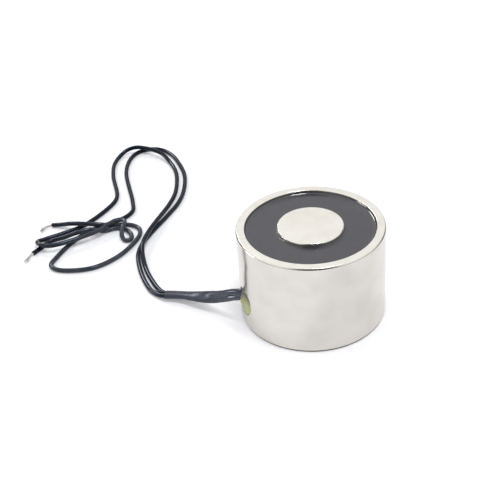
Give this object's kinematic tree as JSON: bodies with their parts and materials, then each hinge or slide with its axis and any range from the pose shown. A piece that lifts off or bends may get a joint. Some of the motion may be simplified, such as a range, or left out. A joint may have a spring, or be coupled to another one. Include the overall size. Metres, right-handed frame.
{
  "type": "electromagnet",
  "caption": "round flat-faced holding electromagnet: nickel-plated steel pot with centre pole, potted coil behind a black ring, and black leads in a shrink sleeve at the side",
  "frame": {"origin": "centre of the round back face, which the part stands on", "axes": "+Z from the back face to the holding face along the pot's axis; the lead hole and the sleeve face -X"},
  "size_m": [0.1034, 0.1458, 0.0305],
  "materials": {
    "bright_nickel_plate": "satin",
    "pressboard": "matte",
    "natural_nylon": "satin",
    "enamelled_copper": "gloss",
    "polyester_tape": "satin",
    "black_epoxy": "satin",
    "olive_resin": "gloss",
    "black_heat_shrink": "satin",
    "black_pvc": "satin",
    "tinned_copper": "satin",
    "splice_heat_shrink": "satin"
  },
  "bodies": {
    "root": {"pot_core": "bright_nickel_plate", "floor_insulator": "pressboard", "coil_bobbin": "natural_nylon", "winding": "enamelled_copper", "winding_tape": "polyester_tape", "start_tail": "enamelled_copper", "finish_tail": "enamelled_copper", "splice_a": "splice_heat_shrink", "splice_b": "splice_heat_shrink", "potting_ring": "black_epoxy", "exit_resin": "olive_resin", "lead_sleeve": "black_heat_shrink", "lead_a": "black_pvc", "lead_b": "black_pvc", "lead_a_tinned_end": "tinned_copper", "lead_b_tinned_end": "tinned_copper"}
  },
  "joints": []
}
